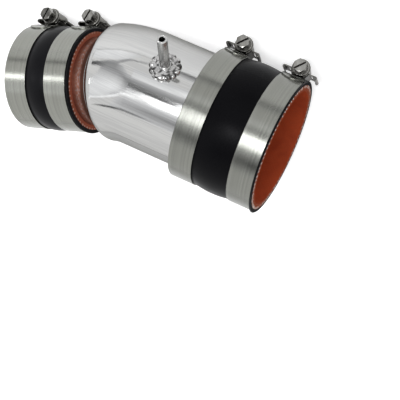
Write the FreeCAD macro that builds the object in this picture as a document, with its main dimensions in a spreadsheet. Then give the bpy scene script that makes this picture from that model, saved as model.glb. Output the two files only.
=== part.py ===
"""Turbo inlet pipe: a polished aluminium reducing elbow with a vacuum nipple, a silicone
coupler on each end and two worm drive clamps on each coupler.

Row frame, millimetres: the origin is the centre of the large open end, +X runs from the
small end toward it and +Z is up. The part lies as it comes to rest on a level floor: on the
inner edge of the large inner band, on the outer edge of the small outer band and on the head
of the small outer clamp's screw, so the large open end looks a little upward.
"""
import FreeCAD, Part
import math
import os
import re

import Sketcher

Vector = FreeCAD.Vector
Rotation = FreeCAD.Rotation
Placement = FreeCAD.Placement

SIZES = {
    # pipe
    "body_od": 76.2,
    "neck_od": 57.15,
    "pipe_wall": 1.65,
    "bend_angle": 22.15,
    "bend_radius": 47.0,
    "shoulder_outer_round": 6.5,
    "shoulder_inner_round": 4.0,
    "shoulder_slope_angle": 65.0,
    "neck_showing": 8.3,
    "body_showing": 38.55,
    "small_insertion": 21.0,
    "large_insertion": 23.0,
    # attitude at rest on a level floor
    "rest_roll_angle": 5.81,
    "rest_tilt_angle": -3.19,
    # couplers
    "hose_fit": 0.1,
    "hose_wall": 4.5,
    "small_outer_overhang": 0.4,
    "small_inner_overhang": 2.2,
    "large_inner_overhang": 0.4,
    "large_outer_overhang": 1.0,
    "small_gap": 14.5,
    "large_gap": 24.45,
    "small_lip_rise": 0.4,
    "large_lip_rise": 1.0,
    "bulge_rise": 0.4,
    "lip_round": 0.7,
    "end_relief_width": 1.5,
    "end_relief_depth": 0.7,
    # nipple and its weld
    "nipple_od": 6.35,
    "nipple_bore": 3.6,
    "nipple_foot_od": 7.4,
    "nipple_reach": 32.0,
    "nipple_station": 16.4,
    "nipple_clock_angle": 24.9,
    "nipple_edge": 0.4,
    "nipple_fit": 0.1,
    "nipple_inside": 1.5,
    "weld_radius": 10.3,
    "weld_height": 3.0,
    "weld_bead": 2.5,
    "weld_ripples": 13,
    "weld_fit": 0.05,
    # clamps
    "band_fit": 0.1,
    "band_side_fit": 0.1,
    "band_thickness": 0.8,
    "band_width": 15.875,
    "tail_reach": 22.5,
    "tail_lead": 9.0,
    "tip_depth": 5.0,
    "slot_length": 8.4,
    "slot_width": 1.6,
    "slot_pitch": 3.2,
    "slot_slant_angle": 8.0,
    "slot_count": 6,
    "saddle_fit": 0.1,
    "saddle_sheet": 0.8,
    "saddle_length": 12.0,
    "saddle_height": 4.9,
    "saddle_half_width": 11.8,
    "saddle_trough": 4.6,
    "saddle_ramp": 1.6,
    "saddle_roll": 1.35,
    "saddle_strap": 0.8,
    "window_half_width": 2.2,
    "slit_width": 1.2,
    "barrel_radius": 5.3,
    "barrel_sheet": 0.8,
    "barrel_height": 5.9,
    "barrel_back": 6.5,
    "barrel_front": 7.6,
    "dome_round": 2.0,
    "mouth_rise": 0.7,
    "mouth_length": 1.0,
    "worm_fit": 0.1,
    "worm_radius": 4.4,
    "worm_root": 3.1,
    "worm_length": 10.0,
    "collar_length": 1.4,
    "thread_root_width": 2.0,
    "thread_crest_width": 0.9,
    "washer_od": 10.8,
    "washer_thickness": 1.2,
    "head_across_flats": 7.94,
    "head_height": 5.6,
    "head_gap": 0.3,
    "driver_slot_width": 1.3,
    "driver_slot_depth": 2.0,
    "small_hex_angle": 70.0,
    "large_hex_angle": 50.0,
    # clock angle of each clamp about its hose, from the bend plane
    "clock_angle_a": -47.1,
    "clock_angle_b": -51.8,
    "clock_angle_c": -50.9,
    "clock_angle_d": -47.4,
}

document = FreeCAD.newDocument("turbo_pipe")
sheet = document.addObject("Spreadsheet::Sheet", "Sizes")
for row, (alias, number) in enumerate(SIZES.items(), start=1):
    sheet.set(f"A{row}", alias)
    sheet.set(f"B{row}", str(number))
    sheet.setAlias(f"B{row}", alias)
document.recompute()


def bound(text):
    """Expression text in which every size name is read from the sheet."""
    return re.sub(r"[a-z]\w*", lambda m: f"Sizes.{m.group()}" if m.group() in SIZES else m.group(), text)


def size(text):
    """Number that an expression of size names has now."""
    return float(sheet.evalExpression(bound(text)))


def origin_plane(body, role):
    """One of a body's own origin planes."""
    return next(feature for feature in body.Origin.OriginFeatures if feature.Role == role)


def origin_axis(body, role):
    """One of a body's own origin axes."""
    return next(feature for feature in body.Origin.OriginFeatures if feature.Role == role)


def new_body(label):
    """Empty body whose label names its file."""
    body = document.addObject("PartDesign::Body", label)
    body.Label = label
    return body


def new_sketch(body, name, role, offset=None, turn=None):
    """Sketch on an origin plane, moved off it by the expression and turned about its normal."""
    sketch = body.newObject("Sketcher::SketchObject", name)
    sketch.AttachmentSupport = (origin_plane(body, role), [""])
    sketch.MapMode = "FlatFace"
    if offset:
        sketch.setExpression("AttachmentOffset.Base.z", bound(offset))
    if turn:
        sketch.AttachmentOffset = Placement(Vector(), Rotation(Vector(0, 0, 1), 1))
        sketch.setExpression("AttachmentOffset.Rotation.Angle", bound(turn))
    return sketch


def draw_outline(sketch, corners, arcs=None):
    """Closed outline through corners given as expressions.

    arcs maps a side's index to its radius, and to +1 where its centre is left of the side
    and -1 where it is right of it.
    """
    arcs = arcs or {}
    points = [Vector(size(x), size(y), 0) for x, y in corners]
    count = len(points)
    ends = []
    for side in range(count):
        start = points[side]
        end = points[(side + 1) % count]
        if side not in arcs:
            sketch.addGeometry(Part.LineSegment(start, end), False)
            ends.append((1, 2))
            continue
        radius_text, hand = arcs[side]
        radius = size(radius_text)
        chord = end - start
        left = Vector(-chord.y, chord.x, 0).normalize()
        reach = math.sqrt(max(radius ** 2 - (chord.Length / 2) ** 2, 0.0))
        centre = (start + end) * 0.5 + left * (reach * hand)
        first, last = (start, end) if hand > 0 else (end, start)
        angle_of = lambda point: math.atan2(point.y - centre.y, point.x - centre.x)
        circle = Part.Circle(centre, Vector(0, 0, 1), radius)
        first_angle = angle_of(first)
        last_angle = angle_of(last)
        if last_angle < first_angle:
            last_angle += 2 * math.pi
        sketch.addGeometry(Part.ArcOfCircle(circle, first_angle, last_angle), False)
        ends.append((1, 2) if hand > 0 else (2, 1))
    for side in range(count):
        following = (side + 1) % count
        joint = Sketcher.Constraint("Coincident", side, ends[side][1], following, ends[following][0])
        sketch.addConstraint(joint)
    for side, (x_text, y_text) in enumerate(corners):
        for kind, letter, text in (("DistanceX", "x", x_text), ("DistanceY", "y", y_text)):
            index = sketch.addConstraint(Sketcher.Constraint(kind, -1, 1, side, ends[side][0], size(text)))
            sketch.renameConstraint(index, f"{letter}{side}")
            sketch.setExpression(f"Constraints.{letter}{side}", bound(text))
    for side, (radius_text, hand) in arcs.items():
        index = sketch.addConstraint(Sketcher.Constraint("Radius", side, size(radius_text)))
        sketch.renameConstraint(index, f"r{side}")
        sketch.setExpression(f"Constraints.r{side}", bound(radius_text))


def draw_circle(sketch, name, radius, x="0", y="0"):
    """Circle of a radius expression about a point of the sketch."""
    centre = Vector(size(x), size(y), 0)
    circle = sketch.addGeometry(Part.Circle(centre, Vector(0, 0, 1), size(radius)), False)
    index = sketch.addConstraint(Sketcher.Constraint("Radius", circle, size(radius)))
    sketch.renameConstraint(index, name)
    sketch.setExpression(f"Constraints.{name}", bound(radius))
    if (x, y) == ("0", "0"):
        sketch.addConstraint(Sketcher.Constraint("Coincident", circle, 3, -1, 1))
        return
    for kind, letter, text in (("DistanceX", "x", x), ("DistanceY", "y", y)):
        index = sketch.addConstraint(Sketcher.Constraint(kind, -1, 1, circle, 3, size(text)))
        sketch.renameConstraint(index, f"{name}_{letter}")
        sketch.setExpression(f"Constraints.{name}_{letter}", bound(text))


def revolve(body, name, sketch, axis="H_Axis", angle="360"):
    """Solid of revolution of a sketch about one of its axes."""
    feature = body.newObject("PartDesign::Revolution", name)
    feature.Profile = sketch
    feature.ReferenceAxis = (sketch, [axis])
    feature.setExpression("Angle", bound(angle))
    return feature


def groove(body, name, sketch, axis="H_Axis"):
    """Full groove turned out of a body about one of a sketch's axes."""
    feature = body.newObject("PartDesign::Groove", name)
    feature.Profile = sketch
    feature.ReferenceAxis = (sketch, [axis])
    feature.Angle = 360
    return feature


def pad(body, name, sketch, length, midplane=False, reverse=False):
    """Pad of a sketch by a length expression."""
    feature = body.newObject("PartDesign::Pad", name)
    feature.Profile = sketch
    feature.setExpression("Length", bound(length))
    feature.Midplane = midplane
    feature.Reversed = reverse
    return feature


def pocket(body, name, sketch, length, midplane=False, reverse=False, may_miss=False):
    """Pocket of a sketch by a length expression, which has to take material away.

    may_miss is for a clearance that cuts only at some sizes.
    """
    document.recompute()
    before = body.Shape.Volume
    feature = body.newObject("PartDesign::Pocket", name)
    feature.Profile = sketch
    feature.setExpression("Length", bound(length))
    feature.Midplane = midplane
    feature.Reversed = reverse
    document.recompute()
    if not may_miss and body.Shape.Volume > before - 1e-6:
        raise RuntimeError(f"{body.Label}: {name} cuts nothing")
    return feature


# Lengths along the pipe, as expressions of the sizes.
BEND_TANGENT = "bend_radius * tan(bend_angle / 2)"
SHOULDER_ROUNDS = "(shoulder_outer_round + shoulder_inner_round)"
SHOULDER_DROP = "((body_od - neck_od) / 2)"
SHOULDER_FLAT = (
    f"(({SHOULDER_DROP} - {SHOULDER_ROUNDS} * (1 - cos(shoulder_slope_angle))) / sin(shoulder_slope_angle))"
)
SHOULDER_LENGTH = (
    f"({SHOULDER_ROUNDS} * sin(shoulder_slope_angle) + {SHOULDER_FLAT} * cos(shoulder_slope_angle))"
)
NIPPLE_PLACE = f"({BEND_TANGENT} + nipple_station)"
SMALL_HOSE_LENGTH = "(small_outer_overhang + small_inner_overhang + 2 * band_width + small_gap)"
LARGE_HOSE_LENGTH = "(large_inner_overhang + large_outer_overhang + 2 * band_width + large_gap)"

# Radii that mating pieces share.
SMALL_SEAT = "(neck_od / 2 + hose_fit + hose_wall)"
LARGE_SEAT = "(body_od / 2 + hose_fit + hose_wall)"
SMALL_BAND = f"({SMALL_SEAT} + band_fit + band_thickness)"
LARGE_BAND = f"({LARGE_SEAT} + band_fit + band_thickness)"
BARREL_SOLE = "barrel_height - band_thickness - saddle_fit - saddle_sheet"


# The assembly's attitude at rest, and the corner where the two axes cross.
ATTITUDE = Rotation(Vector(0, 1, 0), size("rest_tilt_angle")).multiply(
    Rotation(Vector(1, 0, 0), size("rest_roll_angle"))
)
LARGE_REACH = size(f"{BEND_TANGENT} + body_showing + {LARGE_HOSE_LENGTH}")
CORNER = ATTITUDE.multVec(Vector(-LARGE_REACH, 0, 0))
SMALL_ATTITUDE = ATTITUDE.multiply(Rotation(Vector(0, 0, 1), size("bend_angle")))


def on_axis(attitude, distance, clock=None):
    """Frame on an axis at a distance past the corner, its Z at a clock angle about the axis."""
    turn = attitude
    if clock is not None:
        turn = turn.multiply(Rotation(Vector(1, 0, 0), size(clock) - 90))
    return Placement(CORNER + attitude.multVec(Vector(size(distance), 0, 0)), turn)


def make_pipe():
    """Reducing elbow of one tube: neck, swaged shoulder, bend and straight leg."""
    body = new_body("aluminium_pipe")
    bore = "(body_od / 2 - pipe_wall)"
    leg = new_sketch(body, "leg_wall", "XY_Plane")
    leg_end = f"{BEND_TANGENT} + body_showing + large_insertion"
    draw_outline(leg, [
        (BEND_TANGENT, bore),
        (leg_end, bore),
        (leg_end, "body_od / 2"),
        (BEND_TANGENT, "body_od / 2"),
    ])
    revolve(body, "straight_leg", leg)

    bend = new_sketch(body, "bend_section", "YZ_Plane", offset=BEND_TANGENT)
    draw_circle(bend, "outer", "body_od / 2")
    draw_circle(bend, "inner", bore)
    foot = Vector(-size("bend_radius"), 0, 0)
    rise = Vector(0, size("body_od"), 0)
    line = bend.addGeometry(Part.LineSegment(foot, foot + rise), True)
    index = bend.addConstraint(Sketcher.Constraint("DistanceX", line, 1, -1, 1, size("bend_radius")))
    bend.renameConstraint(index, "centre")
    bend.setExpression("Constraints.centre", bound("bend_radius"))
    bend.addConstraint(Sketcher.Constraint("PointOnObject", line, 1, -1))
    bend.addConstraint(Sketcher.Constraint("Vertical", line))
    bend.addConstraint(Sketcher.Constraint("Distance", line, rise.Length))
    revolve(body, "bend", bend, axis="Axis0", angle="bend_angle")

    shoulder = new_sketch(body, "shoulder_wall", "XY_Plane", turn="bend_angle")
    start = f"-({BEND_TANGENT})"
    slope = "shoulder_slope_angle"
    outer = "body_od / 2"
    neck = "neck_od / 2"
    over = "shoulder_outer_round"
    under = "shoulder_inner_round"
    foot_x = f"{start} - {SHOULDER_LENGTH}"
    tip_x = f"{foot_x} - neck_showing - small_insertion"
    inner_over = f"({over} - pipe_wall)"
    inner_under = f"({under} + pipe_wall)"
    draw_outline(shoulder, [
        (start, outer),
        (f"{start} - {over} * sin({slope})", f"{outer} - {over} * (1 - cos({slope}))"),
        (f"{foot_x} + {under} * sin({slope})", f"{neck} + {under} * (1 - cos({slope}))"),
        (foot_x, neck),
        (tip_x, neck),
        (tip_x, f"{neck} - pipe_wall"),
        (foot_x, f"{neck} - pipe_wall"),
        (f"{foot_x} + {inner_under} * sin({slope})",
         f"{neck} - pipe_wall + {inner_under} * (1 - cos({slope}))"),
        (f"{start} - {inner_over} * sin({slope})",
         f"{outer} - pipe_wall - {inner_over} * (1 - cos({slope}))"),
        (start, f"{outer} - pipe_wall"),
    ], arcs={0: (over, 1), 2: (under, -1), 6: (inner_under, 1), 8: (inner_over, -1)})
    revolve(body, "neck_and_shoulder", shoulder)

    hole = new_sketch(body, "nipple_hole_section", "XY_Plane")
    hole.AttachmentOffset = Placement(Vector(), Rotation(Vector(1, 0, 0), 1))
    hole.setExpression("AttachmentOffset.Rotation.Angle", bound("nipple_clock_angle - 90"))
    draw_circle(hole, "hole", "nipple_foot_od / 2 + nipple_fit", x=NIPPLE_PLACE)
    pocket(body, "nipple_hole", hole, "body_od", reverse=True)
    body.Placement = on_axis(ATTITUDE, "0")
    return body


def make_coupler(label, tube_od, seat, gap, overhangs, rises, relief, place):
    """Silicone hose: a flat seat under each band, a bulge between them and a lip at one end.

    overhangs and rises belong to the near end and the far end. An end whose rise is None is
    cut off flush, without a lip. relief is where the shallow groove starts that clears the
    edge of the pipe's end.
    """
    body = new_body(label)
    wall = new_sketch(body, f"{label}_wall", "XY_Plane")
    bore = f"({tube_od} / 2 + hose_fit)"
    shoulder = f"({seat} + band_fit)"
    near, far = overhangs
    end = f"({near} + {far} + 2 * band_width + {gap})"
    first = f"({near} - band_side_fit)"
    second = f"({near} + band_width + band_side_fit)"
    third = f"({end} - {far} - band_width - band_side_fit)"
    fourth = f"({end} - {far} + band_side_fit)"
    rise = "(band_fit + band_thickness + bulge_rise)"
    half = f"(({third} - {second}) / 2)"
    bulge = f"(({half} ^ 2 + {rise} ^ 2) / (2 * {rise}))"
    corners = [
        ("0", bore),
        (relief, bore),
        (relief, f"{bore} + end_relief_depth"),
        (f"{relief} + end_relief_width", f"{bore} + end_relief_depth"),
        (f"{relief} + end_relief_width", bore),
        (end, bore),
    ]
    arcs = {}
    if rises[1] is None:
        corners.append((end, seat))
    else:
        lip = f"({seat} + band_fit + band_thickness + {rises[1]})"
        arcs[len(corners)] = ("lip_round", 1)
        corners += [
            (end, f"{lip} - lip_round"),
            (f"{end} - lip_round", lip),
            (fourth, shoulder),
            (fourth, seat),
        ]
    arcs[len(corners)] = (bulge, 1)
    corners += [(third, seat), (second, seat)]
    if rises[0] is None:
        corners.append(("0", seat))
    else:
        lip = f"({seat} + band_fit + band_thickness + {rises[0]})"
        corners += [(first, seat), (first, shoulder)]
        arcs[len(corners)] = ("lip_round", 1)
        corners += [("lip_round", lip), ("0", f"{lip} - lip_round")]
    draw_outline(wall, corners, arcs)
    revolve(body, f"{label}_hose", wall)
    body.Placement = place
    return body


def make_nipple():
    """Vacuum nipple: a tube with a stouter foot through the wall and the weld, its edges broken."""
    body = new_body("vacuum_nipple")
    wall = new_sketch(body, "nipple_wall", "XZ_Plane")
    outer = "(nipple_od / 2)"
    bore = "(nipple_bore / 2)"
    foot = "(body_od / 2 - pipe_wall - nipple_inside)"
    tip = "(body_od / 2 + nipple_reach)"
    step = "(body_od / 2 + weld_height + nipple_fit)"
    draw_outline(wall, [
        (bore, foot),
        ("nipple_foot_od / 2", foot),
        ("nipple_foot_od / 2", step),
        (outer, step),
        (outer, f"{tip} - nipple_edge"),
        (f"{outer} - nipple_edge", tip),
        (f"{bore} + nipple_edge", tip),
        (bore, f"{tip} - nipple_edge"),
    ])
    revolve(body, "nipple_tube", wall, axis="V_Axis")
    body.Placement = on_axis(ATTITUDE, NIPPLE_PLACE, "nipple_clock_angle")
    return body


def make_weld():
    """Weld round the nipple's foot: a fillet with a ring of ripples, seated on the pipe."""
    body = new_body("nipple_weld")
    fillet = new_sketch(body, "weld_section", "XZ_Plane")
    inner = "(nipple_foot_od / 2 + nipple_fit)"
    ring = "(weld_radius - weld_bead)"
    surface = "(body_od / 2)"
    sunk = f"({surface} - 1.2 * weld_bead)"
    draw_outline(fillet, [
        (inner, sunk),
        (f"{ring} + weld_bead / 2", sunk),
        (f"{ring} + weld_bead / 2", f"{surface} + weld_bead / 2"),
        (ring, f"{surface} + weld_bead * 0.8"),
        (f"{inner} + nipple_edge", f"{surface} + weld_height"),
        (inner, f"{surface} + weld_height"),
    ])
    revolve(body, "weld_fillet", fillet, axis="V_Axis")
    bead = body.newObject("PartDesign::AdditiveSphere", "weld_ripple")
    bead.setExpression("Radius", bound("weld_bead"))
    bead.setExpression("Placement.Base.x", bound(ring))
    bead.setExpression("Placement.Base.z", bound(surface))
    document.recompute()
    ripples = body.newObject("PartDesign::PolarPattern", "weld_ripples")
    ripples.Originals = [bead]
    ripples.Axis = (origin_axis(body, "Z_Axis"), [""])
    ripples.Angle = 360
    ripples.setExpression("Occurrences", bound("weld_ripples"))
    body.Tip = ripples
    seat = new_sketch(body, "pipe_section", "YZ_Plane")
    draw_circle(seat, "pipe", f"{surface} + weld_fit")
    pocket(body, "pipe_seat", seat, "4 * weld_radius", midplane=True)
    clear = new_sketch(body, "nipple_section", "XY_Plane")
    draw_circle(clear, "nipple", inner)
    pocket(body, "nipple_clearance", clear, "body_od", reverse=True, may_miss=True)
    body.Placement = on_axis(ATTITUDE, NIPPLE_PLACE, "nipple_clock_angle")
    return body


def make_band(label, seat, place):
    """Clamp band: one slotted strip whose rounded free end laps over its own ring."""
    body = new_body(f"{label}_band")
    inner = f"({seat} + band_fit)"
    outer = f"({inner} + band_thickness)"
    top = f"({outer} + band_thickness)"
    degrees_per_mm = f"(180 / pi / {outer})"
    lead = f"(tail_lead * {degrees_per_mm})"
    reach = f"(tail_reach * {degrees_per_mm})"
    tail = new_sketch(body, f"{label}_tail_section", "YZ_Plane")
    draw_outline(tail, [
        (f"-{outer} * sin({reach})", f"{outer} * cos({reach})"),
        (f"-{top} * sin({reach})", f"{top} * cos({reach})"),
        (f"{top} * sin({lead})", f"{top} * cos({lead})"),
        (f"{outer} * sin({lead})", f"{outer} * cos({lead})"),
    ], arcs={1: (top, -1), 3: (outer, 1)})
    pad(body, f"{label}_tail", tail, "band_width", midplane=True)

    tip = new_sketch(body, f"{label}_tip_section", "XY_Plane")
    tip.AttachmentOffset = Placement(Vector(), Rotation(Vector(1, 0, 0), 1))
    tip.setExpression("AttachmentOffset.Rotation.Angle", bound(reach))
    side = "(band_width / 2)"
    draw_outline(tip, [
        (f"-{side} - tip_depth", "-tip_depth"),
        (f"{side} + tip_depth", "-tip_depth"),
        (f"{side} + tip_depth", "tip_depth"),
        (side, "tip_depth"),
        (f"-{side}", "tip_depth"),
        (f"-{side} - tip_depth", "tip_depth"),
    ], arcs={3: (f"({side} ^ 2 + tip_depth ^ 2) / (2 * tip_depth)", -1)})
    pocket(body, f"{label}_tip", tip, f"2 * {outer}", reverse=True)

    slot = new_sketch(body, f"{label}_slot_section", "XY_Plane", turn="slot_slant_angle")
    draw_outline(slot, [
        ("-slot_length / 2", "-slot_width / 2"),
        ("slot_length / 2", "-slot_width / 2"),
        ("slot_length / 2", "slot_width / 2"),
        ("-slot_length / 2", "slot_width / 2"),
    ])
    cut = pocket(body, f"{label}_slot", slot, f"2 * {outer}", reverse=True)
    body.Tip = cut
    document.recompute()
    slots = body.newObject("PartDesign::PolarPattern", f"{label}_slots")
    slots.Originals = [cut]
    slots.Axis = (origin_axis(body, "X_Axis"), [""])
    slots.setExpression("Occurrences", bound("slot_count"))
    slots.setExpression("Angle", bound(f"(slot_count - 1) * slot_pitch * {degrees_per_mm}"))
    body.Tip = slots

    ring = new_sketch(body, f"{label}_ring_section", "YZ_Plane")
    draw_circle(ring, "outside", outer)
    draw_circle(ring, "inside", inner)
    pad(body, f"{label}_ring", ring, "band_width", midplane=True)
    body.Placement = place
    return body


def make_saddle(label, seat, place):
    """Clamp saddle: a sheet bridging the band, each wing ending past the edge in a rolled curl."""
    body = new_body(f"{label}_saddle")
    base = f"({seat} + band_fit + 2 * band_thickness + saddle_fit)"
    floor = f"({base} + saddle_sheet)"
    shelf = f"({base} - band_thickness - saddle_fit + saddle_height)"
    section = new_sketch(body, f"{label}_saddle_section", "XZ_Plane")
    trough = "saddle_trough"
    ramp = "(saddle_trough + saddle_ramp)"
    wing = "saddle_half_width"
    roll = "saddle_roll"
    curl = "(saddle_roll - saddle_sheet)"
    eye = f"({shelf} - saddle_roll)"
    right = [
        (trough, base),
        (ramp, f"{shelf} - saddle_sheet"),
        (f"{wing} - {roll}", f"{shelf} - saddle_sheet"),
        (f"{wing} - saddle_sheet", eye),
        (f"{wing} - {roll}", f"{eye} - {curl}"),
        (f"{wing} - {roll}", f"{eye} - {roll}"),
        (wing, eye),
        (f"{wing} - {roll}", shelf),
        (f"{ramp} - saddle_sheet / 2", shelf),
        (f"{trough} - saddle_sheet / 2", floor),
    ]
    left = [(f"-({x})", y) for x, y in reversed(right)]
    arcs = {side: (curl, -1) for side in (2, 3, 15, 16)}
    arcs.update({side: (roll, 1) for side in (5, 6, 12, 13)})
    draw_outline(section, right + left, arcs)
    pad(body, f"{label}_saddle_sheet", section, "saddle_length", midplane=True)

    window = new_sketch(body, f"{label}_window_section", "XY_Plane")
    half = "(saddle_length / 2 - saddle_strap)"
    draw_outline(window, [
        ("-window_half_width", f"-{half}"),
        ("window_half_width", f"-{half}"),
        ("window_half_width", half),
        ("-window_half_width", half),
    ])
    pocket(body, f"{label}_worm_window", window, f"2 * {shelf}", reverse=True)
    for side, sign in (("left", "-1"), ("right", "1")):
        slit = new_sketch(body, f"{label}_{side}_slit_section", "XY_Plane")
        near = f"{sign} * ({ramp} + saddle_sheet)"
        far = f"{sign} * ({ramp} + saddle_sheet + slit_width)"
        draw_outline(slit, [
            (near, f"-{half} + saddle_strap"),
            (far, f"-{half} + saddle_strap"),
            (far, f"{half} - saddle_strap"),
            (near, f"{half} - saddle_strap"),
        ])
        pocket(body, f"{label}_{side}_slit", slit, f"2 * {shelf}", reverse=True)
    body.Placement = place
    return body


def on_barrel(seat, place):
    """Frame on the worm's axis, X toward the head and Z away from the hose."""
    height = size(f"{seat} + band_fit + band_thickness + barrel_height")
    return place.multiply(Placement(Vector(0, 0, height), Rotation(Vector(0, 0, 1), -90)))


def make_housing(label, seat, place):
    """Worm housing: a drawn barrel, domed at one end, flared at its mouth, flat underneath."""
    body = new_body(f"{label}_housing")
    shell = new_sketch(body, f"{label}_shell_section", "XY_Plane")
    outer = "barrel_radius"
    bore = "(barrel_radius - barrel_sheet)"
    back = "-barrel_back"
    draw_outline(shell, [
        (back, "0"),
        (f"{back} + barrel_sheet", "0"),
        (f"{back} + barrel_sheet", f"{bore} - dome_round + barrel_sheet"),
        (f"{back} + dome_round", bore),
        ("barrel_front", bore),
        ("barrel_front", f"{outer} + mouth_rise - lip_round / 2"),
        ("barrel_front - lip_round / 2", f"{outer} + mouth_rise"),
        ("barrel_front - mouth_length", f"{outer} + mouth_rise"),
        ("barrel_front - mouth_length - mouth_rise", outer),
        (f"{back} + dome_round", outer),
        (back, f"{outer} - dome_round"),
    ], arcs={
        2: ("dome_round - barrel_sheet", -1),
        5: ("lip_round / 2", 1),
        9: ("dome_round", 1),
    })
    revolve(body, f"{label}_shell", shell)
    under = new_sketch(body, f"{label}_underside", "XY_Plane", offset=f"-({BARREL_SOLE})")
    reach = "(barrel_front + barrel_back)"
    draw_outline(under, [
        (f"-{reach}", f"-{reach}"),
        (reach, f"-{reach}"),
        (reach, reach),
        (f"-{reach}", reach),
    ])
    pocket(body, f"{label}_sole", under, "2 * barrel_radius")
    body.Placement = on_barrel(seat, place)
    return body


def make_screw(label, seat, turn, place):
    """Worm screw: a real helix, a plain collar in the mouth, a washer face and a slotted hex.

    turn says how far the hex and its slot stand turned from the pipe's length.
    """
    body = new_body(f"{label}_screw")
    core = new_sketch(body, f"{label}_core_section", "XY_Plane")
    face = "(barrel_front + head_gap)"
    crown = f"({face} + washer_thickness + head_height)"
    collar = "(barrel_radius - barrel_sheet - worm_fit)"
    draw_outline(core, [
        ("-worm_length / 2 - worm_fit", "0"),
        (face, "0"),
        (f"{face} + washer_thickness", "0"),
        (f"{face} + washer_thickness", "washer_od / 2 - nipple_edge"),
        (f"{face} + washer_thickness - nipple_edge", "washer_od / 2"),
        (face, "washer_od / 2"),
        (face, collar),
        ("barrel_front - collar_length", collar),
        ("barrel_front - collar_length", "worm_root"),
        ("-worm_length / 2 - worm_fit", "worm_root"),
    ])
    revolve(body, f"{label}_core", core)
    hexagon = new_sketch(body, f"{label}_hexagon", "YZ_Plane", offset=f"{face} + washer_thickness")
    across = "head_across_flats / sqrt(3)"
    draw_outline(hexagon, [
        (f"{across} * cos({60 * corner} + {turn})", f"{across} * sin({60 * corner} + {turn})")
        for corner in range(6)
    ])
    pad(body, f"{label}_hex_head", hexagon, "head_height")
    bevel = new_sketch(body, f"{label}_bevel_section", "XY_Plane")
    flat = "(head_across_flats / 2)"
    draw_outline(bevel, [
        (f"{crown} + 1", f"{flat} - 0.2"),
        (f"{crown} + 1", f"{flat} + 2"),
        (f"{crown} - 1", f"{flat} + 2"),
        (f"{crown}", f"{flat} - 0.2"),
    ])
    groove(body, f"{label}_bevel", bevel)
    slot = new_sketch(body, f"{label}_driver_slot_section", "YZ_Plane", offset=crown)
    draw_outline(slot, [
        (
            f"{end} * washer_od / 2 * cos({turn}) - {side} * driver_slot_width / 2 * sin({turn})",
            f"{end} * washer_od / 2 * sin({turn}) + {side} * driver_slot_width / 2 * cos({turn})",
        )
        for end, side in ((-1, -1), (1, -1), (1, 1), (-1, 1))
    ])
    pocket(body, f"{label}_driver_slot", slot, "driver_slot_depth")
    thread = new_sketch(body, f"{label}_thread_section", "XY_Plane")
    start = "(-worm_length / 2)"
    draw_outline(thread, [
        (start, "worm_root - 0.2"),
        (f"{start} + thread_root_width", "worm_root - 0.2"),
        (f"{start} + (thread_root_width + thread_crest_width) / 2", "worm_radius"),
        (f"{start} + (thread_root_width - thread_crest_width) / 2", "worm_radius"),
    ])
    helix = body.newObject("PartDesign::AdditiveHelix", f"{label}_thread")
    helix.Profile = thread
    helix.ReferenceAxis = (thread, ["H_Axis"])
    helix.Mode = 0
    helix.setExpression("Pitch", bound("slot_pitch"))
    helix.setExpression("Height", bound("worm_length - thread_root_width"))
    helix.Angle = 0
    helix.Growth = 0
    body.Placement = on_barrel(seat, place)
    return body


make_pipe()
make_nipple()
make_weld()
SMALL_START = f"({BEND_TANGENT} + {SHOULDER_LENGTH} + neck_showing)"
LARGE_START = f"({BEND_TANGENT} + body_showing)"
make_coupler(
    "small_coupler", "neck_od", SMALL_SEAT, "small_gap",
    ("small_outer_overhang", "small_inner_overhang"), (None, "small_lip_rise"),
    f"{SMALL_HOSE_LENGTH} - small_insertion - end_relief_width",
    on_axis(SMALL_ATTITUDE, f"-({SMALL_START} + {SMALL_HOSE_LENGTH})"),
)
make_coupler(
    "large_coupler", "body_od", LARGE_SEAT, "large_gap",
    ("large_inner_overhang", "large_outer_overhang"), (None, "large_lip_rise"),
    "large_insertion",
    on_axis(ATTITUDE, LARGE_START),
)

SMALL_NEAR = f"{SMALL_START} + small_inner_overhang + band_width / 2"
SMALL_FAR = f"{SMALL_START} + {SMALL_HOSE_LENGTH} - small_outer_overhang - band_width / 2"
LARGE_NEAR = f"{LARGE_START} + large_inner_overhang + band_width / 2"
LARGE_FAR = f"{LARGE_START} + {LARGE_HOSE_LENGTH} - large_outer_overhang - band_width / 2"
CLAMPS = (
    ("small_outer_clamp", SMALL_SEAT, SMALL_ATTITUDE, f"-({SMALL_FAR})", "clock_angle_a", "small_hex_angle"),
    ("small_inner_clamp", SMALL_SEAT, SMALL_ATTITUDE, f"-({SMALL_NEAR})", "clock_angle_b", "small_hex_angle"),
    ("large_inner_clamp", LARGE_SEAT, ATTITUDE, LARGE_NEAR, "clock_angle_c", "large_hex_angle"),
    ("large_outer_clamp", LARGE_SEAT, ATTITUDE, LARGE_FAR, "clock_angle_d", "large_hex_angle"),
)
for label, seat, attitude, distance, clock, turn in CLAMPS:
    frame = on_axis(attitude, distance, clock)
    make_band(label, seat, frame)
    make_saddle(label, seat, frame)
    make_housing(label, seat, frame)
    make_screw(label, seat, turn, frame)

document.recompute()
os.makedirs("parts", exist_ok=True)
for item in document.Objects:
    if "Invalid" in item.State or "Error" in item.State:
        raise RuntimeError(f"{item.Name}: {item.State}")
for body in document.findObjects("PartDesign::Body"):
    shape = body.Shape
    if shape.isNull() or not shape.isValid() or len(shape.Solids) != 1:
        raise RuntimeError(f"{body.Label}: not one valid solid")
    shape.exportStep(f"parts/{body.Label}.step")
    print(f"{body.Label}: {shape.Volume:.0f} mm3, {len(shape.Faces)} faces")
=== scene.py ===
"""Looks of the turbo pipe: a polished reducing elbow, two lined hoses and four worm clamps."""
import logging
import math
from dataclasses import dataclass, replace
from enum import Enum
from typing import Dict, List, NamedTuple, Optional, Sequence, Tuple, Union

import bpy
from mathutils import Euler, Matrix, Vector, noise


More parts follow.
